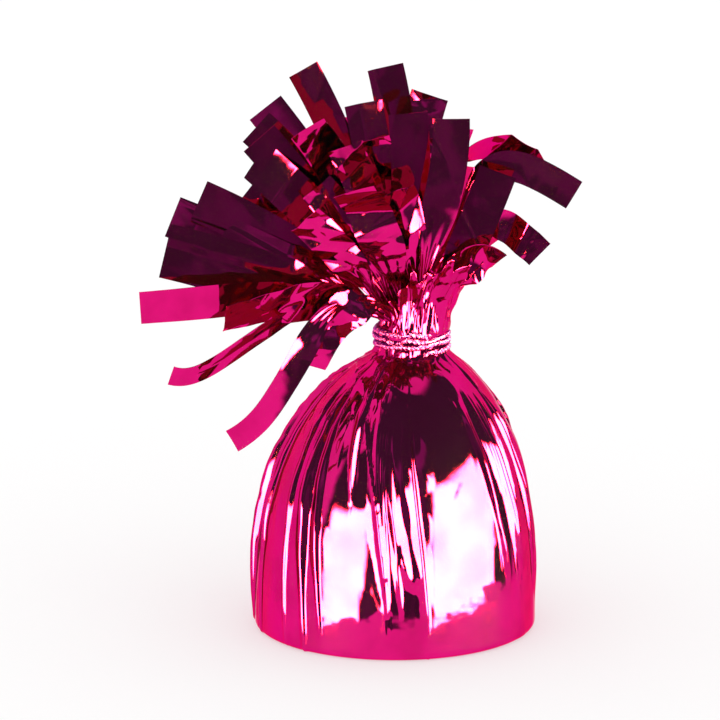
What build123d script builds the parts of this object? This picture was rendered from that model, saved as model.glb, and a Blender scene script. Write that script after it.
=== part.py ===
from build123d import *
import os
from math import cos, pi, radians, sin, tan

# Foil-wrapped balloon weight, in millimetres, standing on Z = 0 with its axis at X = Y = 0.
# A sand-filled plastic bell stands in a sheet of metallised film. The film runs flat under the base, is drawn up
# round the bell in pleats, and is gathered and tied at the neck. Above the tie it opens as a pleated ruff, and its
# edge is slit into streamers that splay out all round. Left and front are as seen by a viewer who stands at -Y.

# Film
film = 0.2  # thickness
clearance = 0.3  # between the film and what it is drawn over

# Wrapped body
base_diameter = 64.0
base_edge = 1.2  # height and width of the rounded edge under the base
crown_height = 66.0  # height at which the crown curve would close on the axis
crown_power = 2.6  # how long the side stays upright
crown_roundness = 1.7  # how full the shoulder is
neck_lean = 3.7  # sideways shift of the neck, to +X
neck_radius = 7.0  # of the valleys between the gathers

# Pleats of the wrap and the ruff
pleat_count = 19
pleat_share = 0.5  # share of the pitch that a ridge takes
pleat_wander = 0.2  # unevenness of the pitch
taut_angle = 46.0  # degrees of the front that stay smooth
taut_side = -68.0  # degrees round the axis to the middle of that smooth panel
ridge_base = 0.15
ridge_shoulder = 1.1
ridge_neck = 0.6
ridge_rim = 2.0

# Tie
tie_diameter = 1.0
tie_turns = 3
tie_pitch = 1.5
tie_gap = 0.05  # between the gathers and the thread
tie_margin = 0.4  # of neck left above and below the winding
tie_start = -65.0  # degrees round the neck, where the thread's ends part

# Ruff
ruff_flare = 41.0  # degrees from upright
ruff_high = 12.0  # height of the rim on the right
ruff_low = 1.0  # height of the rim on the left

# Bell, sand and plug
bell_wall = 1.2
crown_room = 8.0  # from the bell's top to where the crown curve closes
plug_thickness = 1.6
plug_ledge = 0.6  # step in the bell's mouth that the plug stops on
plug_gap = 0.1  # round the plug, and round the sand
core_below = 1.7  # of gathered film below the neck

# Streamers
streamer_width = 9.6  # of those behind
root_width = 0.8  # where a streamer is gathered in the neck
root_lift = 0.3  # of the roots above the gathered core
open_from = 0.1  # share of the way out at which a streamer starts to widen
open_until = 0.52  # share of the way out at which it has its full width
back_count = 13
back_length = 54.0
back_first = 62.0  # degrees round the axis, from the right
back_last = 136.0
back_rise = 12.0  # degrees above level of the lowest
back_step = 3.4  # degrees from each to the next above it
back_knee = 26.0  # distance of the bend from the neck
back_arch = 0.42  # share of the angle to upright by which the bend lies higher than the tip

# Streamers set by eye, from the neck: the tip, the knees that a streamer bends towards on its way there, its twist
# about its own line, in degrees from lying flat outwards, and its width.
SET_STREAMERS = {
    "left_long": ((-61, -9, 5.5), [(-21, -6, 11), (-34.5, -8, 7)], 78, 8.2),
    "left_fan_low": ((-55.5, -2, 17), [(-24, -3.5, 9.5)], 89, 12.6),
    "left_fan_mid": ((-54, 6, 23), [(-26.5, 2, 13)], -75, 9.6),
    "left_fan_high": ((-48, 5, 27), [(-24, 1.5, 17)], -81, 9.6),
    "left_fan_back": ((-38.5, 12, 26), [(-24.5, 8, 15.5)], -65, 9.6),
    "left_curl": ((-32, -14, 35.5), [(-15, -8, 23)], 74, 9.6),
    "upper_left_back": ((-32.5, 9, 47.5), [(-14.5, 7, 24)], -56, 9),
    "upper_left_mid": ((-35, 7, 43.5), [(-13, 0.5, 24)], -86, 9),
    "upper_left_front": ((-34, -4, 43), [(-17, -3, 23)], -87, 9),
    "top_left": ((-24.5, 8, 56.5), [(-13, 7, 35.5)], -64, 7.2),
    "top_fold": ((-11, -1, 50), [(-7.5, -1, 33.5)], 82, 8.6),
    "top_right": ((-6, 4, 57.5), [(-1, 4, 36.5)], -14, 8.2),
    "top_right_back": ((4, 16, 49), [(-2, 9, 31.5)], -1, 8.6),
    "front_upright": ((-1, -13, 50), [(0.5, -11, 28)], -2, 8.8),
    "right_tall": ((8.5, -18, 49.5), [(3.5, -16, 23), (9, -18, 34)], -13, 8.2),
    "right_arch": ((27, 9, 40.5), [(7.5, 6, 50), (16.5, 8, 34.5)], -48, 8.6),
    "right_long": ((36.5, 1, 29), [(16.5, 1, 39.5), (16.5, 1, 41.5)], 89, 7),
    "right_mid": ((19, -6, 35.5), [(12, -5, 16)], -73, 8.6),
    "right_low": ((29, 6, 14), [(13.5, 5, 23), (16.5, 5, 25.5)], -70, 7),
    "right_short": ((19, -10, 15), [(11, -11, 19.5)], -74, 8.4),
    "low_left_curl": ((-40.5, -26, -23), [(-26, -24, 22), (-22.5, -31, -13)], -75, 5.4),
    "low_left_wave": ((-54, -17, -8), [(-18, -10, 11), (-33, -14, 7.5), (-43, -16, -11.5)], 80, 4.6),
    "low_left_crumple": ((-37, -22, 3), [(-10, -11, 12), (-28, -16, 8)], 84, 9.6),
    "front_low": ((-20.5, -25, -5), [(-9, -16, 16), (-16.5, -22, 9)], -48, 9),
    "centre_up": ((-23, -16, 47), [(-9, -5, 25)], 64, 8.6),
    "centre_left": ((-15, -15, 43.5), [(-6, -10, 25)], 31, 8.6),
    "centre_front": ((-13, -24, 35), [(-5.5, -13, 22.5)], 27, 9.6),
    "centre_crest": ((-9, -9, 44.5), [(-4, -7, 27)], 28, 8),
    "centre_right": ((-3.5, -18, 34), [(1, -11, 21)], -1, 8),
    "centre_mid": ((-21.5, -13, 33), [(-10.5, -10.5, 22)], 48, 8.6),
    "centre_low": ((-24, -19, 28), [(-15, -10, 18.5)], 66, 8),
}

# Sizes and places that follow from these
base_radius = base_diameter / 2
neck_share = (neck_radius / base_radius) ** crown_roundness
neck_bottom = crown_height * (1 - neck_share) ** (1 / crown_power)  # where the crown has narrowed to the neck
neck_top = neck_bottom + tie_turns * tie_pitch + tie_diameter + 2 * tie_margin
neck = Vector(neck_lean, 0, neck_top)
core_radius = neck_radius - film - clearance
root_spread = core_radius - clearance  # radius of the bundle of roots
tie_radius = neck_radius + ridge_neck + tie_gap + tie_diameter / 2
tie_bottom = neck_bottom + tie_margin + tie_diameter / 2
bell_room = base_edge + film + clearance  # from the crown curve to the bell
bell_height = crown_height - crown_room
bell_mouth = base_radius - bell_room - bell_wall


def crown_radius(height):
    """Radius of the wrapped body at a height: a superellipse that stands on the base and closes over it."""
    return base_radius * (1 - (height / crown_height) ** crown_power) ** (1 / crown_roundness)


def lean(height):
    """Sideways shift of the film at a height, which grows to the neck's."""
    return neck_lean * (height / neck_bottom) ** 2


def pleat_angles():
    """Angle of each ridge in degrees: an uneven pitch round all but the smooth panel."""
    pitch = (360 - taut_angle) / (pleat_count - 1)
    first = taut_side + taut_angle / 2
    wander = [pleat_wander * sin(2.4 * k) for k in range(pleat_count)]
    return [first + pitch * (k + shift) for k, shift in enumerate(wander)]


def pleated_section(radius, ridge, height, shift):
    """Flat outline of the gathered film: two straight flanks at each ridge, and an arc to the next one."""

    def at(angle, distance):
        return Vector(shift + distance * cos(radians(angle)), distance * sin(radians(angle)), height)

    half = (360 - taut_angle) / (pleat_count - 1) * pleat_share / 2
    angles = pleat_angles()
    edges = []
    for angle, following in zip(angles, angles[1:] + [angles[0] + 360]):
        top, foot = at(angle, radius + ridge), at(angle + half, radius)
        edges.append(Line(at(angle - half, radius), top))
        edges.append(Line(top, foot))
        edges.append(ThreePointArc(foot, at((angle + following) / 2, radius), at(following - half, radius)))
    return Face(Wire(edges))


def wrap_body(inset):
    """The wrapped body, drawn in by an inset everywhere but at its open top."""
    sections = [pleated_section(base_radius - base_edge - inset, ridge_base, inset, 0)]
    levels = [neck_bottom * share for share in (0.2, 0.4, 0.58, 0.73, 0.86, 0.95)]
    for height in [base_edge + inset] + levels:
        ridge = ridge_base + (ridge_shoulder - ridge_base) * (height / neck_bottom) ** 1.5
        sections.append(pleated_section(crown_radius(height) - inset, ridge, height, lean(height)))
    for height in (neck_bottom, neck_top):
        sections.append(pleated_section(neck_radius - inset, ridge_neck, height, neck_lean))
    return loft(sections, ruled=True)


def make_wrap():
    """The film from under the base to the top of the neck."""
    return wrap_body(0) - wrap_body(film)


def ruff_cone(inset, rise):
    """Pleated cone on the neck's outline, as far as a rise above it."""
    rim = neck_radius + rise * tan(radians(ruff_flare))
    sections = [
        pleated_section(neck_radius - inset, ridge_neck, neck_top, neck_lean),
        pleated_section(rim - inset, ridge_rim, neck_top + rise, neck_lean),
    ]
    return loft(sections, ruled=True)


def make_ruff():
    """The film above the tie: a pleated cone whose rim falls from the right to the left."""
    spread = tan(radians(ruff_flare))
    span = 2 * neck_radius + (ruff_high + ruff_low) * spread
    slope = (ruff_high - ruff_low) / span
    rise = ruff_high + slope * 2 * ridge_rim
    cone = ruff_cone(0, rise) - ruff_cone(film / cos(radians(ruff_flare)), rise)
    left_end = neck + Vector(-neck_radius - ruff_low * spread, 0, ruff_low)
    rim = Plane(origin=left_end, x_dir=(1, 0, slope), z_dir=(-slope, 0, 1))
    return split(cone, bisect_by=rim, keep=Keep.BOTTOM)


def make_core():
    """The film gathered solid inside the tie."""
    bottom = neck_bottom - core_below
    section = pleated_section(core_radius - ridge_neck, ridge_neck, bottom, neck_lean)
    return extrude(section, amount=neck_top - bottom, dir=(0, 0, 1))


def bell_body(inset):
    """Solid of revolution inside the crown curve, clear of the leaning film, drawn in by an inset."""
    heights = [bell_height * share for share in (0, 0.2, 0.4, 0.6, 0.75, 0.9, 1)]
    outline = []
    for height in heights:
        radius = crown_radius(height) - lean(height) - bell_room - inset
        outline.append((radius, 0, film + height * (1 - inset / bell_height)))
    top, foot = (0, 0, outline[-1][2]), (0, 0, film)
    edges = [Line(foot, outline[0]), Spline(outline), Line(outline[-1], top), Line(top, foot)]
    return revolve(Face(Wire(edges)), axis=Axis.Z)


def disc(radius, thickness):
    """Disc that lies on the film of the base."""
    return Pos(0, 0, film) * Cylinder(radius, thickness, align=(Align.CENTER, Align.CENTER, Align.MIN))


def make_bell():
    """Moulded shell, open below, with a step in its mouth for the plug."""
    return bell_body(0) - bell_body(bell_wall) - disc(bell_mouth + plug_ledge, plug_thickness)


def make_plug():
    """Disc that closes the bell's mouth."""
    return disc(bell_mouth + plug_ledge - plug_gap, plug_thickness - plug_gap)


def make_sand():
    """The sand that fills the bell above the plug."""
    return bell_body(bell_wall + plug_gap) - disc(base_radius, plug_thickness)


def biarc(start, start_way, end, end_way):
    """Two arcs that leave start along one way, arrive at end along another, and meet smoothly in between."""
    gap, ways = end - start, start_way + end_way
    a, b, c = 2 * (start_way.dot(end_way) - 1), -2 * gap.dot(ways), gap.dot(gap)
    reach = (-b - (b * b - 4 * a * c) ** 0.5) / (2 * a)
    middle = (start + start_way * reach + end - end_way * reach) * 0.5
    first = TangentArc(start, middle, tangent=start_way)
    return first, TangentArc(middle, end, tangent=first % 1)


def tie_place(turn):
    """Centre of the thread and its way after a number of turns round the neck."""
    angle = radians(tie_start) + 2 * pi * turn
    round_neck = Vector(cos(angle), sin(angle), 0) * tie_radius
    way = Vector(-round_neck.Y, round_neck.X, tie_pitch / (2 * pi)).normalized()
    return Vector(neck_lean, 0, tie_bottom + tie_pitch * turn) + round_neck, way


def make_tie():
    """Metallic thread wound round the neck, with straight ends."""
    places = [tie_place(quarter / 4) for quarter in range(4 * tie_turns + 1)]
    (first, first_way), (last, last_way) = places[0], places[-1]
    edges = [Line(first - first_way * tie_diameter, first)]
    for (start, start_way), (end, end_way) in zip(places, places[1:]):
        edges.extend(biarc(start, start_way, end, end_way))
    edges.append(Line(last, last + last_way * tie_diameter))
    path = Wire(edges)
    points = [path @ (n / 400) for n in range(401)]
    half_turn = 200 // tie_turns
    gaps = [(p - q).length - tie_diameter for n, p in enumerate(points) for q in points[n + half_turn :]]
    print(f"tie: {path.length:.1f} mm of thread, least gap to itself {min(gaps):.2f} mm")
    mouth = Plane(origin=path @ 0, z_dir=path % 0) * Circle(tie_diameter / 2)
    return sweep(mouth, path=path)


def back_streamers():
    """The streamers behind: spread by the golden section, each rising a little higher and lying flat outwards."""
    found = {}
    for n in range(back_count):
        around = radians(back_first + (back_last - back_first) * (n * 0.618 % 1))
        rise = back_rise + back_step * n
        bend = rise + (90 - rise) * back_arch
        flat = Vector(cos(around), sin(around), 0)
        tip = (flat * cos(radians(rise)) + Vector(0, 0, sin(radians(rise)))) * back_length
        knee = (flat * cos(radians(bend)) + Vector(0, 0, sin(radians(bend)))) * back_knee
        found[f"back_{n + 1:02d}"] = (tip, [knee], 0, streamer_width)
    return found


def place(points, share):
    """Point and way of the Bezier curve on these points, at a share of its run."""
    while len(points) > 2:
        points = [p * (1 - share) + q * share for p, q in zip(points, points[1:])]
    start, end = points
    return start * (1 - share) + end * share, (end - start).normalized()


def make_streamer(tip, knees, twist, width):
    """A strip of film that leaves the neck gathered and flat, widens, twists, and bends at its knees."""
    seat = neck + Vector(0, 0, root_lift)
    bends = [neck + Vector(knee) for knee in knees]
    out = (bends[0] - seat).normalized()
    flat = Vector(-out.Y, out.X, 0)
    line = [seat + Vector(out.X, out.Y, 0) * root_spread, *bends, neck + Vector(tip)]
    sections = []
    for share in (0, 0.12, 0.22, 0.32, 0.42, 0.52, 0.66, 0.83, 1):
        middle, way = place(line, share)
        across = (flat - way * way.dot(flat)).rotate(Axis((0, 0, 0), way), twist * min(1, share / open_until))
        opened = min(1, max(0, (share - open_from) / (open_until - open_from)))
        wide = root_width + (width - root_width) * opened**2 * (3 - 2 * opened)
        sections.append(Plane(origin=middle, x_dir=across, z_dir=way) * Rectangle(wide, film))
    return loft(sections, ruled=True)


def main():
    pieces = {
        "foil_wrap": make_wrap(),
        "weight_bell": make_bell(),
        "base_plug": make_plug(),
        "sand_fill": make_sand(),
        "neck_core": make_core(),
        "neck_tie": make_tie(),
        "foil_ruff": make_ruff(),
    }
    for name, shape in (SET_STREAMERS | back_streamers()).items():
        pieces[f"streamer_{name}"] = make_streamer(*shape)
    os.makedirs("parts", exist_ok=True)
    for name, piece in pieces.items():
        piece.label = name
        export_step(piece, f"parts/{name}.step")


main()
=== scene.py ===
from math import cos, pi, radians, sin, tan

import bpy
import numpy as np
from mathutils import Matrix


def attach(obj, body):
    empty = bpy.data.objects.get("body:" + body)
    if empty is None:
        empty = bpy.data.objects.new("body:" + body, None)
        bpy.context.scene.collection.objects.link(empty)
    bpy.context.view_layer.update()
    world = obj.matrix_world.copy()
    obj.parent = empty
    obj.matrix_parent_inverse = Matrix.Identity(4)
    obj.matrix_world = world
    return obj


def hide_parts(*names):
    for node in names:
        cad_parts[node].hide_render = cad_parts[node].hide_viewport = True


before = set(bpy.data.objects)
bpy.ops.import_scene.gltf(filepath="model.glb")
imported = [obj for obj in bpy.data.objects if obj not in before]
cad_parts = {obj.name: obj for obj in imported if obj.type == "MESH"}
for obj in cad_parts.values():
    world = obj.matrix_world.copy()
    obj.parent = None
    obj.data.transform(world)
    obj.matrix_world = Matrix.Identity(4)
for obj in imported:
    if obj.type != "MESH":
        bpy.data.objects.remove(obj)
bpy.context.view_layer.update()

# The weight inside: a moulded polystyrene bell filled with dry sand and closed by a disc in its mouth.
# All three stay as the frame has them, and the film hides them.


class Wire:
    """An output socket of a node tree. Arithmetic on wires adds Math nodes to that tree."""

    def __init__(self, tree, socket=None):
        self.tree, self.socket = tree, socket

    def node(self, kind, settings=None, sockets=None, out=0):
        """Adds a node of a kind, sets its settings, then fills its sockets with values or wires."""
        made = self.tree.nodes.new(kind)
        for name, value in (settings or {}).items():
            setattr(made, name, value)
        for name, value in (sockets or {}).items():
            if isinstance(value, Wire):
                self.tree.links.new(value.socket, made.inputs[name])
            else:
                made.inputs[name].default_value = value
        return Wire(self.tree, made.outputs[out]) if len(made.outputs) else made

    def math(self, operation, *values):
        """A Math node of an operation on these values or wires."""
        return self.node("ShaderNodeMath", {"operation": operation}, dict(enumerate(values)))

    def __add__(self, other):
        return self.math("ADD", self, other)

    def __radd__(self, other):
        return self.math("ADD", other, self)

    def __sub__(self, other):
        return self.math("SUBTRACT", self, other)

    def __rsub__(self, other):
        return self.math("SUBTRACT", other, self)

    def __mul__(self, other):
        return self.math("MULTIPLY", self, other)

    def __rmul__(self, other):
        return self.math("MULTIPLY", other, self)

    def rise(self, low, high):
        """0 below low, 1 above high, and an S-curve from one to the other."""
        return self.node(
            "ShaderNodeMapRange",
            {"interpolation_type": "SMOOTHSTEP"},
            {"Value": self, "From Min": low, "From Max": high},
        )

    def mix(self, first, second):
        """The first colour where this wire is 0, and the second where it is 1."""
        return self.node("ShaderNodeMix", {"data_type": "RGBA"}, {0: self, 6: first, 7: second}, 2)

    def ramp(self, *stops):
        """A colour ramp over this wire, set from stops that are each a place and a colour."""
        made = self.node("ShaderNodeValToRGB", sockets={"Fac": self})
        elements = made.socket.node.color_ramp.elements
        for place, _ in stops[2:]:
            elements.new(place)
        for element, (place, colour) in zip(elements, stops):
            element.position, element.color = place, (*colour, 1)
        return made


def new_material(name):
    """An empty material and a wire into its tree."""
    material = bpy.data.materials.new(name)
    material.use_nodes = True
    material.node_tree.nodes.clear()
    return material, Wire(material.node_tree)


def finish_material(start, shader_sockets):
    """Ends a tree in a Principled shader with these socket values and wires."""
    shader = start.node("ShaderNodeBsdfPrincipled", sockets=shader_sockets)
    start.node("ShaderNodeOutputMaterial", sockets={"Surface": shader})


def noise(start, scale, detail=3.0, rough=0.5):
    """Noise on Object coordinates, in cells per metre."""
    place = start.node("ShaderNodeTexCoord", out="Object")
    return place.node(
        "ShaderNodeTexNoise",
        sockets={"Vector": place, "Scale": scale, "Detail": detail, "Roughness": rough},
    )


def bump(height, distance):
    """Normal of a height wire from 0 to 1 that stands for a distance in metres."""
    return height.node("ShaderNodeBump", sockets={"Height": height, "Distance": distance})


bell_plastic, start = new_material("moulded_polystyrene")
grain = noise(start, 900, detail=4)
mottle = noise(start, 60)
finish_material(
    start,
    {
        "Base Color": mottle.rise(0.3, 0.7).mix((0.62, 0.6, 0.56, 1), (0.7, 0.68, 0.64, 1)),
        "Roughness": 0.38 + 0.15 * grain,
        "Normal": bump(grain, 0.00004),
    },
)
dry_sand, start = new_material("dry_sand")
grain = noise(start, 2600, detail=5, rough=0.7)
finish_material(
    start,
    {
        "Base Color": grain.ramp(
            (0.3, (0.33, 0.22, 0.12)),
            (0.7, (0.78, 0.64, 0.44)),
            (0.5, (0.6, 0.45, 0.28)),
        ),
        "Roughness": 0.85 + 0.1 * grain,
        "Normal": bump(grain, 0.0003),
    },
)
for node, material in (("weight_bell", bell_plastic), ("base_plug", bell_plastic), ("sand_fill", dry_sand)):
    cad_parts[node].data.materials.clear()
    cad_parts[node].data.materials.append(material)

# The wrap: a sheet of metallised film, lacquered magenta, rolled round the bell with a lap at the front,
# turned flat under the base and drawn in to the neck. It lies tight on two panels in front and in pleats
# elsewhere. Sizes are in mm, and angles in degrees round the axis from the right, with the front at -90.

mm = 0.001
front_angle = -90.0
base_radius, base_edge = 32.0, 1.2
crown_height, crown_power, crown_roundness = 66.0, 2.6, 1.7
neck_lean, neck_radius, neck_height, neck_ridge = 3.7, 7.0, 6.3, 0.6
neck_bottom = crown_height * (1 - (neck_radius / base_radius) ** crown_roundness) ** (1 / crown_power)
neck_top = neck_bottom + neck_height
pleat_count, pleat_wander, taut_angle, taut_side = 19, 0.2, 46.0, -68.0
pleat_pitch = (360 - taut_angle) / (pleat_count - 1)
swirl, swirl_power = 17.0, 1.5

# The middle of each tight panel, and how far off it the film is tight and has gone slack.
tight_panels = ((-110, 8, 13), (-58, 14, 20))
slack_above = (0.52, 0.72)

# Seeded ranges of the folds: where they end as a share of the height, and where over a tight panel, the
# widths of the steep and the slack face, and the slope of the steep face.
main_folds = {
    "end": (-0.15, 0.2),
    "raised": (0.5, 0.62),
    "steep": (0.9, 1.7),
    "slack": (2, 4.5),
    "slope": (44, 55),
}
fine_folds = {
    "end": (-0.2, 0.7),
    "raised": (0.5, 0.8),
    "steep": (0.5, 1.1),
    "slack": (0.8, 2.5),
    "slope": (38, 52),
}
fine_count, fine_drift, gentle_slope = 70, 4, (5, 13)
fold_tip, fold_narrowing, fold_at_foot = 0.2, 0.55, 0.38
right_side, right_ease = 55, 0.4
sides, sides_narrowed, sides_steeper, sharp_slope = 60, 0.6, 14, 30

lap_foot, lap_draw, lap_reach, lap_power = -93.5, 28.5, 57.0, 2.9
lap_height, lap_fade = 0.55, 2.0
beside_foot, beside_draw, beside_height, beside_steep, beside_slack = -75, 36, 0.75, 3.0, 1.4
calm_middle, calm_share = -84, 0.75
puff_rise, puff_spread = 0.4, 1.1
film_gap, base_fade = 0.05, (26, 31)


def smooth(value, low, high):
    """0 below low, 1 above high, and 3t2 - 2t3 from one to the other."""
    share = np.clip((value - low) / (high - low), 0, 1)
    return share * share * (3 - 2 * share)


def zigzag(value):
    """A wave of straight slopes and sharp creases, from -1 to 1, with a period of 1."""
    return 4 * np.abs(value - np.floor(value + 0.5)) - 1


def crumple(x, y, seed, length, count=4):
    """Mean of zigzags of about one length that run in seeded directions, from -1 to 1: flat facets."""
    chance = np.random.default_rng(seed)
    ways = chance.uniform(0, pi, count)
    stretches = chance.uniform(0.6, 1.6, count)
    phases = chance.random(count)
    total = 0
    for way, stretch, phase in zip(ways, stretches, phases):
        total = total + zigzag((x * cos(way) + y * sin(way)) / (length * stretch) + phase) / count
    return total


def crown_radius(height):
    """Superellipse that stands on the base and closes over it at the crown height."""
    return base_radius * (1 - (height / crown_height) ** crown_power) ** (1 / crown_roundness)


def lean(height):
    """Sideways shift of the film at a height: a parabola up to the neck's."""
    return neck_lean * (np.minimum(height, neck_bottom) / neck_bottom) ** 2


def swing(height):
    """Angle that the folds have swung round at a height, because the neck was twisted to close it."""
    return swirl * np.clip(height / neck_bottom, 0, 1) ** swirl_power


def pleat_angles():
    """Angles of the main ridges: an uneven pitch round all but the taut panel."""
    k = np.arange(pleat_count)
    return taut_side + taut_angle / 2 + pleat_pitch * (k + pleat_wander * np.sin(2.4 * k))


def off_line(around, line):
    """Signed angle from a line, from -180 to 180."""
    return (around - line + 180) % 360 - 180


def arc_length(angle, radius):
    """Length of an arc of this angle."""
    return angle * radius * pi / 180


def lap_line(height):
    """Angle of the lap's free edge: nearly upright at the foot, drawn to the left below the neck."""
    return lap_foot - lap_draw * (height / lap_reach) ** lap_power


def ridge(away, steep, slack):
    """A fold over signed distance from its crest: 1 at the crest and straight down to 0 at both widths."""
    return np.clip(1 - np.where(away > 0, away / steep, -away / slack), 0, 1)


def slackness(around, up):
    """0 on the panels that lie tight on the bell, and 1 elsewhere and higher up."""
    slack = 1.0
    for middle, tight, loose in tight_panels:
        slack = slack * smooth(np.abs(off_line(around, middle)), tight, loose)
    return np.maximum(slack, smooth(up, *slack_above))


def fold_end(chance, folds, angle):
    """Seeded end of a fold, a share of the height. It lies higher over a tight panel."""
    return chance.uniform(*folds["end" if slackness(angle, 0) > 0.5 else "raised"])


def wrap_fold(around, height, radius, foot_angle, drift, end, steep, slack, slope):
    """Height of a fold that hangs from the neck. From its foot angle it swings round with the film, and by
    a drift of its own. The steep face looks to the taut panel, and the tip at its end is round. Widths are
    those of a full-grown fold. Sharp folds at the sides and behind are narrower and steeper."""
    up = np.clip(height / neck_bottom, 0, 1)
    grown = np.sqrt(np.clip((up - end) / fold_tip, 1e-6, 1)) * (radius / base_radius) ** fold_narrowing
    grown = grown * (fold_at_foot + (1 - fold_at_foot) * smooth(up, 0.0, 0.55))
    grown = grown * (1 - 0.4 * smooth(up, 0.84, 0.97))
    away = arc_length(off_line(around, foot_angle - drift * up - swing(height)), radius)
    side = 1 if off_line(foot_angle, taut_side) < 0 else -1
    if abs(off_line(foot_angle, front_angle)) > sides and slope > sharp_slope:
        steep, slope = steep * sides_narrowed, slope + sides_steeper
    return tan(radians(slope)) * steep * grown * ridge(side * away / grown, steep, slack)


def wrap_relief(around, height, radius):
    """Height of the film off the bell: the main folds, finer ones that fade under the neck, slow waves and
    facets, all calmer in front under the neck. Larger facets up there, the lap and the fold beside it are
    added to that."""
    up = np.clip(height / neck_bottom, 0, 1)
    arc = arc_length(around, radius)
    chance = np.random.default_rng(11)
    relief = np.zeros(np.broadcast(around, height).shape)
    for angle in pleat_angles() + swirl:
        end = fold_end(chance, main_folds, angle)
        steep, slack, slope = (chance.uniform(*main_folds[name]) for name in ("steep", "slack", "slope"))
        slope = right_ease * slope if off_line(angle, front_angle) > right_side else slope
        relief = relief + wrap_fold(around, height, radius, angle, 0, end, steep, slack, slope)
    for _ in range(fine_count):
        angle, drift = chance.uniform(0, 360), chance.normal(0, fine_drift)
        slope = chance.uniform(*(gentle_slope if chance.random() < 0.5 else fine_folds["slope"]))
        end = fold_end(chance, fine_folds, angle)
        steep, slack = (chance.uniform(*fine_folds[name]) for name in ("steep", "slack"))
        fold = wrap_fold(around, height, radius, angle, drift, end, steep, slack, slope)
        relief = relief + fold * (1 - 0.9 * smooth(up, 0.74, 0.92))
    wave = np.sin(np.radians(around * 13 + 70 * np.sin(3 * up)))
    wave = wave + 0.9 * np.sin(np.radians(around * 23 + 140 * up))
    wave = wave + 1.5 * np.sin(np.radians(around * 10) + height / 5)
    wave = wave + 1.5 * np.sin(np.radians(around * 8) - height / 3.4 + 1)
    relief = relief + wave * (0.04 + 0.05 * smooth(up, 0.25, 0.6))
    relief = relief + crumple(arc, height * 0.3, 5, 7.0) * (0.05 + 0.14 * slackness(around, up))
    calm = smooth(up, 0.76, 0.9) * (1 - smooth(np.abs(off_line(around, calm_middle)), 20, 42))
    relief = relief * (1 - calm_share * calm)
    relief = relief + crumple(arc, height, 15, 11.0) * smooth(up, 0.72, 0.9)
    past_lap = arc_length(off_line(around, lap_line(height)), radius)
    lap = np.where(past_lap > 0, 0.0, np.exp(past_lap / lap_fade))
    relief = relief + lap_height * smooth(up, 0.0, 0.1) * lap
    beside = arc_length(off_line(around, beside_foot - beside_draw * up), radius)
    beside_shown = smooth(up, 0.22, 0.34) * (1 - smooth(up, 0.62, 0.8))
    relief = relief + beside_height * beside_shown * ridge(beside, beside_steep, beside_slack)
    return np.maximum(relief, film_gap)


def wrap_film(columns, wall_rows):
    """The bag as a grid of rows from the middle of the base to the top of the neck: a flat disc, a rounded
    edge, the crown curve at even steps of its length, and the neck. Each row is a ring moved out by the
    relief, and columns follow the folds. A few more rows run down the inside to the middle of the base."""
    even = np.linspace(-180, 180, columns, endpoint=False)[None, :]
    fine = np.linspace(base_edge, neck_bottom, 2000)
    run = np.concatenate([[0], np.cumsum(np.hypot(np.diff(fine), np.diff(crown_radius(fine))))])
    wall = np.interp(np.linspace(0, run[-1], wall_rows), run, fine)
    quarter = np.linspace(0, pi / 2, 5)[:-1]
    edge = base_radius - base_edge + base_edge * np.sin(quarter)
    flat = (base_radius - base_edge) * np.linspace(0.05, 1, 5)[:-1]
    neck_rows = np.linspace(neck_bottom, neck_top, 9)[1:]
    height = np.concatenate([0 * flat, base_edge * (1 - np.cos(quarter)), wall, neck_rows])
    radius = np.concatenate([flat, edge, crown_radius(wall), 0 * neck_rows + neck_radius])
    back = np.append(np.arange(len(height))[:6:-7], 0)
    inside_height, inside_radius = height[back] + film_gap * (height[back] < 1), radius[back] - film_gap
    inside_radius[-1] = 0.01
    height, radius = height[:, None], radius[:, None]
    around = even - swing(height)
    relief = wrap_relief(around, height, radius)
    on_neck = smooth(height, neck_bottom - 1, neck_bottom + 1)
    puff = np.exp(-(((height - neck_bottom - puff_rise) / puff_spread) ** 2))
    puff = puff * (0.9 + 0.6 * crumple(around / 9, height, 7, 3.0))
    relief = relief * (1 - on_neck) + np.clip(relief, 0, neck_ridge) * on_neck + puff
    radius = radius + relief * np.where(height > 0, 1, smooth(radius, *base_fade))
    radius = np.concatenate([radius, inside_radius[:, None] + 0 * even])
    height = np.concatenate([height, inside_height[:, None]]) + 0 * even
    turn = np.radians(even - swing(height))
    return np.stack([lean(height) + radius * np.cos(turn), radius * np.sin(turn), height], axis=-1) * mm


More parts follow.
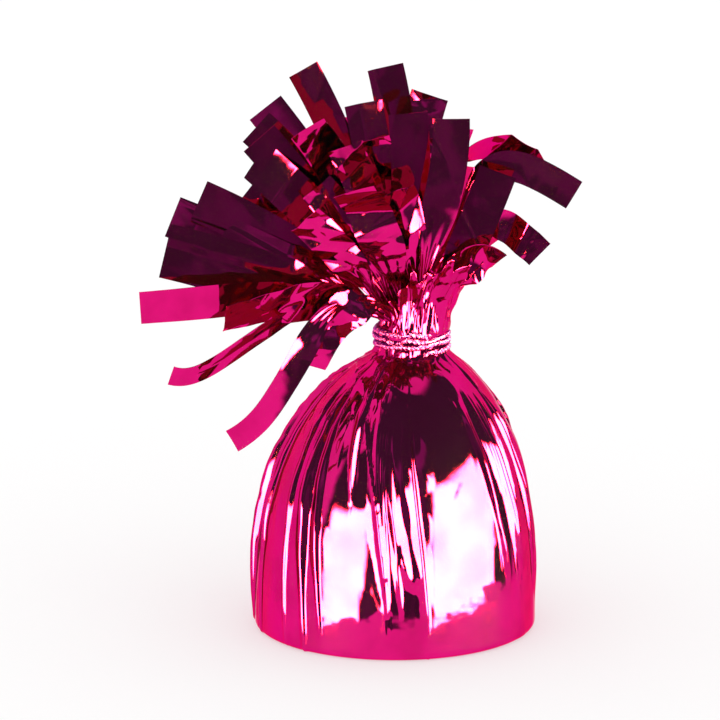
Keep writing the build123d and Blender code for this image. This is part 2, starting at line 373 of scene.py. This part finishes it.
def put_grid(name, grid, material, ring=False, poles=0, film=0.0):
    """Mesh object of a grid of points: quads between neighbours, closed round each row where it is a ring.
    One pole is a fan over the first row, and two also one over the last. Film is the thickness of its wall,
    which has sharp rims."""
    rows, columns = grid.shape[:2]
    index = np.arange(rows * columns).reshape(rows, columns)
    after = np.roll(index, -1, axis=1) if ring else index[:, 1:]
    here = index if ring else index[:, :-1]
    quads = np.stack([here[:-1], after[:-1], after[1:], here[1:]], axis=-1).reshape(-1, 4)
    points, corners, sizes = grid.reshape(-1, 3), quads.ravel(), np.full(len(quads), 4)
    for row, first, second in [(0, after[0], here[0]), (-1, here[-1], after[-1])][:poles]:
        fan = np.stack([first, second, np.full_like(first, len(points))], axis=-1)
        points = np.vstack([points, grid[row].mean(axis=0)])
        corners = np.concatenate([corners, fan.ravel()])
        sizes = np.concatenate([sizes, np.full(len(fan), 3)])
    starts = np.concatenate([[0], np.cumsum(sizes)[:-1]])
    mesh = bpy.data.meshes.new(name)
    mesh.vertices.add(len(points))
    mesh.vertices.foreach_set("co", points.astype(np.float32).ravel())
    mesh.loops.add(len(corners))
    mesh.loops.foreach_set("vertex_index", corners.astype(np.int32))
    mesh.polygons.add(len(sizes))
    mesh.polygons.foreach_set("loop_start", starts.astype(np.int32))
    mesh.polygons.foreach_set("use_smooth", np.ones(len(sizes), bool))
    mesh.update(calc_edges=True)
    mesh.materials.append(material)
    piece = bpy.data.objects.new(name, mesh)
    bpy.context.scene.collection.objects.link(piece)
    if film:
        on_rim = np.ones((rows, columns), bool)
        on_rim[1:-1, 1:-1] = False
        ends = np.empty(2 * len(mesh.edges), np.int32)
        mesh.edges.foreach_get("vertices", ends)
        mesh.edges.foreach_set("use_edge_sharp", on_rim.ravel()[ends.reshape(-1, 2)].all(axis=1))
        wall = piece.modifiers.new("film", "SOLIDIFY")
        wall.thickness, wall.offset = film, 0
    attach(piece, "root")
    return piece


film_colour, deep_colour, edge_colour = (0.775, 0.006, 0.19, 1), (0.66, 0.004, 0.15, 1), (1, 0.2, 0.4, 1)
magenta_film, start = new_material("magenta_film")
smudge = noise(start, 120)
crinkle = noise(start, 150, detail=2, rough=0.45)
finish_material(
    start,
    {
        "Base Color": smudge.rise(0.35, 0.75).mix(film_colour, deep_colour),
        "Metallic": 1.0,
        "Specular Tint": edge_colour,
        "Roughness": 0.035 + 0.05 * smudge.rise(0.5, 0.8),
        "Coat Weight": 0.12,
        "Coat Roughness": 0.6,
        "Coat IOR": 1.5,
        "Normal": bump(crinkle, 0.00008),
    },
)
film_wrap = put_grid("film_wrap", wrap_film(560, 136), magenta_film, ring=True, poles=2)
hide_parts("foil_wrap")

# The tie: three turns of metallic thread pulled tight round the neck, its ends parting at the front right.
# It is a flat pink strip twisted into a cord, so it glitters.

tie_diameter, tie_turns, tie_pitch, tie_start = 1.0, 3, 1.5, -65.0
tie_gap, tie_margin = 0.05, 0.4
tie_radius = neck_radius + neck_ridge + tie_gap + tie_diameter / 2
tie_bottom = neck_bottom + tie_margin + tie_diameter / 2
tie_past, tie_knots, tie_wobble, tie_twists = 0.02, 60, 0.34, 26


def wound_thread(rings, sides):
    """A wobbling helix round the neck with pointed ends. The section that it carries is full and dented,
    with two edges that twist along it."""
    along = np.linspace(-tie_past, tie_turns + tie_past, rings)
    angle = radians(tie_start) + 2 * pi * along
    chance = np.random.default_rng(3)
    knots = np.linspace(-0.1, tie_turns + 0.1, tie_knots)
    wobble = np.interp(along, knots, chance.normal(0, tie_wobble, tie_knots))
    out = np.stack([np.cos(angle), np.sin(angle), 0 * angle], axis=-1)
    up = np.array([0, 0, 1.0])
    middle = np.array([neck_lean, 0, 0]) + out * (tie_radius + 0.5 * wobble)[:, None]
    middle = middle + up * (tie_bottom + tie_pitch * along + wobble)[:, None]
    turn = np.linspace(0, 2 * pi, sides, endpoint=False)[None, :]
    edges = zigzag(turn / pi + 2 * tie_twists * along[:, None])
    dents = crumple(along[:, None] * 46, 1.3 * turn, 31, 1.4)
    ends = np.clip(np.minimum(along - along[0], along[-1] - along) / 0.004, 0.02, 1)[:, None]
    width = tie_diameter / 2 * (1.35 + 0.22 * edges + 0.3 * dents) * ends
    points = middle[:, None] + out[:, None] * (width * np.cos(turn))[..., None]
    points = points + up * (width * np.sin(turn))[..., None]
    return points[:, ::-1] * mm


thread, start = new_material("metallic_thread")
glint = noise(start, 1500, detail=2)
finish_material(
    start,
    {
        "Base Color": glint.rise(0.4, 0.65).mix((0.5, 0.01, 0.25, 1), (0.75, 0.04, 0.6, 1)),
        "Metallic": 1.0,
        "Roughness": 0.26 + 0.3 * glint,
        "Normal": bump(glint, 0.0004),
    },
)
neck_thread = put_grid("neck_thread", wound_thread(1500, 14), thread, ring=True, poles=2)
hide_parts("neck_tie")

# The ruff: the same film just above the tie, opening as a crumpled, pleated cone that stands high on the
# right and low on the left. Its inside runs down into the gathered film that fills the neck.

ruff_flare, ruff_high, ruff_low = 41.0, 12.0, 1.0
ruff_seat, ruff_room, ruff_left_flare = 2.6, 1.5, 20.0
ruff_front, ruff_front_middle, ruff_front_spread = 6.0, -72, 55
ruff_folds, ruff_film_gap, ruff_middle = 70, 0.15, 0.04


def ruff_film(columns, rows):
    """A cone on the neck's outline up to a slanting rim, then back down its inside to the neck's middle.
    It flares at both sides and stands up in front. Seeded folds widen from the neck, broken by facets."""
    around = np.linspace(-180, 180, columns, endpoint=False)[None, :]
    turn = np.radians(around)
    outer, inner = np.linspace(0, 1, rows)[:, None], np.linspace(1, 0, rows)[1:, None]
    share = np.concatenate([outer, inner])
    inside = np.concatenate([0 * outer, 0 * inner + 1])
    rim = (ruff_high + ruff_low) / 2 + (ruff_high - ruff_low) / 2 * np.cos(turn)
    rim = rim + ruff_front * np.exp(-((off_line(around, ruff_front_middle) / ruff_front_spread) ** 2))
    rim = rim * (1 + 0.14 * zigzag(around / 37) + 0.12 * zigzag(around / 15.3 + 0.3))
    rise = rim * share
    flare = ruff_flare * (0.6 + 0.4 * smooth(np.cos(turn), 0, 0.9))
    flare = flare + ruff_left_flare * smooth(-np.cos(turn), 0, 0.9)
    radius = neck_radius + ruff_room + rise * np.tan(np.radians(flare)) * (0.5 + 0.5 * share)
    chance = np.random.default_rng(41)
    fold = 0
    for _ in range(ruff_folds):
        angle, width = chance.uniform(-180, 180), chance.uniform(3, 14)
        slope = radians(chance.uniform(15, 50))
        away = off_line(around, angle + chance.normal(0, 14) * share) * chance.choice([-1, 1])
        deep = arc_length(width, radius) * tan(slope) * chance.uniform(0.2, 0.6)
        fold = fold + deep * (smooth(share, 0, 0.5) * 0.8 + 0.2) * (ridge(away, width * 0.5, width) - 0.07)
    fold = fold - 1.6 * smooth(share, 0, 0.7)
    fold = fold + crumple(around / 7, rise * 0.8, 23, 5.0) * 1.3 * smooth(share, 0, 0.5)
    closing = ruff_middle + (1 - ruff_middle) * smooth(share, 0, 0.5)
    radius = (radius + fold - ruff_film_gap * inside) * np.where(inside > 0, closing, 1)
    height = neck_top - ruff_seat + ruff_seat * share + rise
    height = height + 0.8 * crumple(around / 6, rise * 2, 29, 6.0) * share
    points = [neck_lean + radius * np.cos(turn), radius * np.sin(turn), height]
    return (np.stack(points, axis=-1) * mm)[::-1]


film_ruff = put_grid("film_ruff", ruff_film(460, 34)[:, ::-1], magenta_film, ring=True, poles=1)
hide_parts("foil_ruff", "neck_core")

# The streamers: the film's edge, slit into strips about 9 mm wide that splay out of the neck. Each leaves
# it pleated small, opens flat, twists and bends, and keeps the creases that the packing gave it.

neck = np.array([neck_lean, 0, neck_top])
streamer_width, streamer_film, root_width, root_lift, root_spread = 9.6, 0.1, 0.8, 0.3, 6.2
open_from, open_until = 0.1, 0.52
back_count, back_first, back_last, back_rise, back_step = 13, 62, 136, 12, 3.4
back_length, back_knee, back_arch, golden_section = 54, 26, 0.42, 0.618

# Tip and knees of each from the neck in mm, its twist in degrees from lying flat outwards, and its width.
set_streamers = {
    "left_long": ((-61, -9, 5.5), [(-21, -6, 11), (-34.5, -8, 7)], 78, 8.2),
    "left_fan_low": ((-55.5, -2, 17), [(-24, -3.5, 9.5)], 89, 12.6),
    "left_fan_mid": ((-54, 6, 23), [(-26.5, 2, 13)], -75, 9.6),
    "left_fan_high": ((-48, 5, 27), [(-24, 1.5, 17)], -81, 9.6),
    "left_fan_back": ((-38.5, 12, 26), [(-24.5, 8, 15.5)], -65, 9.6),
    "left_curl": ((-32, -14, 35.5), [(-15, -8, 23)], 74, 9.6),
    "upper_left_back": ((-32.5, 9, 47.5), [(-14.5, 7, 24)], -56, 9),
    "upper_left_mid": ((-35, 7, 43.5), [(-13, 0.5, 24)], -86, 9),
    "upper_left_front": ((-34, -4, 43), [(-17, -3, 23)], -87, 9),
    "top_left": ((-24.5, 8, 56.5), [(-13, 7, 35.5)], -64, 7.2),
    "top_fold": ((-11, -1, 50), [(-7.5, -1, 33.5)], 82, 8.6),
    "top_right": ((-6, 4, 57.5), [(-1, 4, 36.5)], -14, 8.2),
    "top_right_back": ((4, 16, 49), [(-2, 9, 31.5)], -1, 8.6),
    "front_upright": ((-1, -13, 50), [(0.5, -11, 28)], -2, 8.8),
    "right_tall": ((8.5, -18, 49.5), [(3.5, -16, 23), (9, -18, 34)], -13, 8.2),
    "right_arch": ((27, 9, 40.5), [(7.5, 6, 50), (16.5, 8, 34.5)], -48, 8.6),
    "right_long": ((36.5, 1, 29), [(16.5, 1, 39.5), (16.5, 1, 41.5)], 89, 7),
    "right_mid": ((19, -6, 35.5), [(12, -5, 16)], -73, 8.6),
    "right_low": ((29, 6, 14), [(13.5, 5, 23), (16.5, 5, 25.5)], -70, 7),
    "right_short": ((19, -10, 15), [(11, -11, 19.5)], -74, 8.4),
    "low_left_curl": ((-40.5, -26, -23), [(-26, -24, 22), (-22.5, -31, -13)], -75, 5.4),
    "low_left_wave": ((-54, -17, -8), [(-18, -10, 11), (-33, -14, 7.5), (-43, -16, -11.5)], 80, 4.6),
    "low_left_crumple": ((-37, -22, 3), [(-10, -11, 12), (-28, -16, 8)], 84, 9.6),
    "front_low": ((-20.5, -25, -5), [(-9, -16, 16), (-16.5, -22, 9)], -48, 9),
    "centre_up": ((-23, -16, 47), [(-9, -5, 25)], 64, 8.6),
    "centre_left": ((-15, -15, 43.5), [(-6, -10, 25)], 31, 8.6),
    "centre_front": ((-13, -24, 35), [(-5.5, -13, 22.5)], 27, 9.6),
    "centre_crest": ((-9, -9, 44.5), [(-4, -7, 27)], 28, 8),
    "centre_right": ((-3.5, -18, 34), [(1, -11, 21)], -1, 8),
    "centre_mid": ((-21.5, -13, 33), [(-10.5, -10.5, 22)], 48, 8.6),
    "centre_low": ((-24, -19, 28), [(-15, -10, 18.5)], 66, 8),
}

# Creases by streamer: how far out in shares and how far across in mm, which way the film beyond lies in
# degrees from straight out, and how far it folds in degrees, with more than 0 towards the front.
set_creases = {
    "left_fan_low": [(0.25, 1.5, 90, 16), (0.25, 2.3, 90, -16), (0.4, -2.2, 80, -15), (0.4, -1.6, 80, 15)],
    "left_fan_mid": [(0.3, -1, 85, 17), (0.3, -0.4, 85, -17)],
    "left_fan_high": [(0.35, 1, 95, -17), (0.35, 1.6, 95, 17)],
    "left_curl": [(0.15, -4, 90, -4), (0.3, 0, 0, -18), (0.85, 0, 0, -30)],
    "upper_left_back": [(0.4, 0, 0, -7)],
    "upper_left_front": [(0.4, 0, 0, -10)],
    "top_left": [(0.35, 0, 0, -3), (0.86, 1, 45, 9)],
    "top_fold": [(0.5, -1, 90, 12), (0.72, 0, 15, -14)],
    "top_right": [(0.15, -4, 90, -5), (0.55, 0, 20, -4)],
    "front_upright": [(0.25, 0, 0, -7), (0.36, 0, 50, -20), (0.39, 0, 50, 20), (0.6, 0, 6, -8)],
    "right_tall": [(0.25, 0, 0, -9), (0.75, 1, 60, 8)],
    "right_arch": [(0.86, 0, 35, 50)],
    "right_mid": [(0.4, 0, 0, -5), (0.6, 0, 42, -22), (0.625, 0, 42, 24)],
    "right_long": [(0.74, 0, 60, -8)],
    "right_low": [(0.2, 0, 0, -10), (0.6, 0, 20, 12)],
    "right_short": [(0.15, -4, 90, -10), (0.2, 0, 0, -4), (0.75, 0, 30, 12)],
    "front_low": [(0.15, -4, 90, -12), (0.45, 0, 0, -30), (0.75, 0, 70, 30)],
    "low_left_curl": [(0.15, -3, 90, 15), (0.3, 0, 0, -3)],
    "low_left_crumple": [(0.35, 0, 0, -14), (0.6, 1, 70, 22), (0.8, 0, -40, -26)],
    "low_left_wave": [(0.7, 0, 90, 10)],
    "centre_up": [(0.15, -4, 90, -6), (0.3, 0, 0, -10), (0.8, 0, -15, 14)],
    "centre_mid": [(0.15, -4, 90, 6), (0.2, 0, 0, -4)],
    "centre_front": [(0.6, 0, 30, -25), (0.76, 0, 25, 42), (0.9, 0, 0, -30)],
    "centre_right": [(0.64, 0, -35, -26), (0.82, 0, -30, 40)],
}

# Depth and length of the facets in mm and the number of seeded creases, of crumpled streamers and the rest.
crumpled_names = ("centre", "front_low", "low_left_crumple", "right_low", "top_right_back", "left_fan_back")
crumpled_facets, plain_facets = (1.1, 9.0, 4), (0.3, 16.0, 2)
pleat_depth, pleats_across, cup_depth = 0.5, 1.6, 0.25


def back_streamers():
    """The streamers behind: spread by the golden section, each a little higher, lying flat outwards."""
    found = {}
    for n in range(back_count):
        around = radians(back_first + (back_last - back_first) * (n * golden_section % 1))
        rise = back_rise + back_step * n
        bend = radians(rise + (90 - rise) * back_arch)
        rise = radians(rise)
        flat, up = np.array([cos(around), sin(around), 0]), np.array([0, 0, 1])
        tip = (flat * cos(rise) + up * sin(rise)) * back_length
        knee = (flat * cos(bend) + up * sin(bend)) * back_knee
        found[f"back_{n + 1:02d}"] = (tip, [knee], 0, streamer_width)
    return found


def along_bezier(points, share):
    """Point and way of the Bezier curve on these points at each share, by dividing each side of the polygon
    at that share until one side is left."""
    while len(points) > 2:
        points = [p * (1 - share) + q * share for p, q in zip(points, points[1:])]
    way = points[1] - points[0]
    return points[0] * (1 - share) + points[1] * share, way / np.linalg.norm(way, axis=1, keepdims=True)


def seeded_crease(chance):
    """A slight crease anywhere on the outer half, in the form of the set ones."""
    return chance.uniform(0.45, 0.95), chance.uniform(-2, 2), chance.uniform(-180, 180), chance.normal(0, 5)


def strip(name, tip, knees, twist, width, seed, rows=110, columns=29):
    """A strip along the curve root, knees, tip. It twists up to half way, widens from a pleated root, and
    stands off its middle surface by its pleats, its facets, a slight cup across and its creases."""
    seat = neck + np.array([0, 0, root_lift])
    bends = [neck + np.array(knee) for knee in knees]
    out = (bends[0] - seat) / np.linalg.norm(bends[0] - seat)
    root, flat = seat + np.array([out[0], out[1], 0]) * root_spread, np.array([-out[1], out[0], 0])
    share = np.linspace(0, 1, rows)[:, None]
    middle, way = along_bezier([point + 0 * share for point in (root, *bends, neck + np.array(tip))], share)
    across = flat - way * (way @ flat)[:, None]
    across = across / np.linalg.norm(across, axis=1, keepdims=True)
    turn = np.radians(twist * np.minimum(1, share / open_until))
    across = across * np.cos(turn) + np.cross(way, across) * np.sin(turn)
    face = np.cross(way, across)
    opened = smooth(share, open_from, open_until)
    half = (root_width + (width - root_width) * opened) / 2
    side = np.sin(np.linspace(-pi / 2, pi / 2, columns))[None, :]
    run = np.concatenate([[0], np.cumsum(np.linalg.norm(np.diff(middle, axis=0), axis=1))])[:, None]
    chance = np.random.default_rng(seed)
    depth, length, crease_count = crumpled_facets if name.startswith(crumpled_names) else plain_facets
    pleats = zigzag(side * pleats_across + chance.random())
    off = pleat_depth * (1 - opened) * smooth(share, 0, open_from) * pleats
    off = off + depth * crumple(run, side * half, seed, length) * smooth(share, open_from, 0.4)
    off = off + cup_depth * (1 - side**2) * opened * chance.uniform(-1, 1)
    front = 1 if face[-1, 1] < 0 else -1
    creases = set_creases.get(name, []) + [seeded_crease(chance) for _ in range(crease_count)]
    for place, beside, way_on, fold in creases:
        outwards, sideways = cos(radians(way_on)), sin(radians(way_on))
        beyond = (run - place * run[-1]) * outwards + (side * half - beside) * sideways
        off = off + front * tan(radians(fold)) * np.maximum(beyond, 0) * opened
    points = middle[:, None] + across[:, None] * (half * side)[..., None] + face[:, None] * off[..., None]
    return points * mm


for seed, (name, shape) in enumerate((set_streamers | back_streamers()).items(), start=100):
    streamer = put_grid(f"film_{name}", strip(name, *shape, seed), magenta_film, film=streamer_film * mm)
    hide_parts(f"streamer_{name}")

# The stage: a pale table in a dim studio with a white backdrop and two softboxes in front. They are very
# bright and greenish, because the film takes green out, so that they come out white in it. Only mirrored
# rays see the studio, with the table as a small disc in it. The eye sees white all round.

floor_half, floor_drop = 6, 0.00005
table_edge, table_flat = (0.14, 0.19), (0.765, 0.785)
floor_corners = [(x * floor_half, y * floor_half, 0) for x, y in ((-1, -1), (1, -1), (1, 1), (-1, 1))]
floor_mesh = bpy.data.meshes.new("floor")
floor_mesh.from_pydata(floor_corners, [], [(0, 1, 2, 3)])
floor = bpy.data.objects.new("floor", floor_mesh)
bpy.context.scene.collection.objects.link(floor)
floor.location.z = -floor_drop


def within(value, low, high, soft):
    """1 between low and high, 0 outside, with soft edges."""
    return value.rise(low - soft, low + soft) * (1 - value.rise(high - soft, high + soft))


def seen_twice(start):
    """1 for a ray that has been mirrored twice or more, and 0 for one mirrored once or not at all."""
    return start.node("ShaderNodeLightPath", out="Glossy Depth").rise(1.2, 1.8)


pale, start = new_material("pale_table")
mirrored_ray = start.node("ShaderNodeLightPath", out="Is Glossy Ray")
place = start.node("ShaderNodeTexCoord", out="Object")
distance = place.node("ShaderNodeVectorMath", {"operation": "LENGTH"}, {"Vector": place}, "Value")
flatness = start.node("ShaderNodeLayerWeight", out="Facing")
gone = distance.math("MAXIMUM", distance.rise(*table_edge), flatness.rise(*table_flat))
# Rays mirrored twice or more, as between the film's folds, see the table grey: painted shade in the folds.
shade = seen_twice(start).mix((1, 1, 1, 1), (0.4, 0.4, 0.45, 1))
table = start.node("ShaderNodeEmission", sockets={"Color": shade, "Strength": 1.0})
clear = start.node("ShaderNodeBsdfTransparent")
mirrored = start.node("ShaderNodeMixShader", sockets={0: gone, 1: table, 2: clear})
cloth = start.node("ShaderNodeBsdfDiffuse", sockets={"Color": (0.98, 0.98, 0.98, 1)})
glow = start.node("ShaderNodeEmission", sockets={"Color": (1, 1, 1, 1), "Strength": 1.0})
seen = start.node("ShaderNodeMixShader", sockets={0: 0.4, 1: cloth, 2: glow})
surface = start.node("ShaderNodeMixShader", sockets={0: mirrored_ray, 1: seen, 2: mirrored})
start.node("ShaderNodeOutputMaterial", sockets={"Surface": surface})
floor_mesh.materials.append(pale)

# The room's parts by degrees to the right of straight ahead of the object, and by degrees above level.
world = bpy.data.worlds.new("studio")
bpy.context.scene.world = world
world.use_nodes = True
world.node_tree.nodes.clear()
start = Wire(world.node_tree)
mirrored_ray = start.node("ShaderNodeLightPath", out="Is Glossy Ray")
off_floor = start.node("ShaderNodeLightPath", out="Diffuse Depth").rise(0.2, 0.8)
second_mirror = seen_twice(start)
place = start.node("ShaderNodeTexCoord", out="Generated")
axes = place.node("ShaderNodeSeparateXYZ", sockets={"Vector": place})
x, y, z = (Wire(start.tree, axes.socket.node.outputs[n]) for n in range(3))
azimuth = x.math("ARCTAN2", x, 0 - y) * (180 / pi)
level = z.math("ARCSINE", z) * (180 / pi)
right_softbox = within(azimuth, 30, 90, 2) * within(level, -22, 20, 2)
left_softbox = within(azimuth, -62, -27, 2) * within(level, -22, 13, 2)
backdrop = azimuth.rise(109, 115) + 1 - azimuth.rise(-71, -65)
overhead = level.rise(66, 76)
blotch = start.node(
    "ShaderNodeTexNoise",
    sockets={"Vector": place, "Scale": 3.0, "Detail": 1.0, "Roughness": 0.4},
)
ahead = within(azimuth, -25, 26, 10) * (within(level, 26, 50, 6) + 0.3 * within(level, -40, 26, 6))
room = (ahead * blotch.rise(0.4, 0.6)).mix((0.05, 0.06, 0.08, 1), (0.22, 0.2, 0.33, 1))
# Rays mirrored twice or more see the backdrop, the top of the room and the softboxes dimmed: painted shade
# where the film mirrors itself in its folds.
room = backdrop.mix(room, second_mirror.mix((0.95, 0.95, 0.95, 1), (0.35, 0.35, 0.4, 1)))
room = overhead.mix(room, second_mirror.mix((0.9, 0.9, 0.9, 1), (0.3, 0.3, 0.35, 1)))
room = (right_softbox + left_softbox).mix(room, second_mirror.mix((90, 165, 16, 1), (0.7, 0.8, 1, 1)))
room = (mirrored_ray * (1 - off_floor)).mix((1.04, 1.04, 1.04, 1), room)
sky = start.node("ShaderNodeBackground", sockets={"Color": room, "Strength": 1.0})
start.node("ShaderNodeOutputWorld", sockets={"Surface": sky})

# The camera looks down on the object from in front, from far off.
camera_tilt, camera_distance, aim_x, aim_z = radians(14), 1.3575, -0.008, 0.0615
camera = bpy.data.objects.new("camera", bpy.data.cameras.new("camera"))
bpy.context.scene.collection.objects.link(camera)
camera.data.lens, camera.data.sensor_width = 300, 36
camera.location = (aim_x, -camera_distance * cos(camera_tilt), aim_z + camera_distance * sin(camera_tilt))
camera.rotation_euler = (pi / 2 - camera_tilt, 0, 0)
bpy.context.scene.camera = camera
bpy.context.scene.view_settings.view_transform = "Standard"
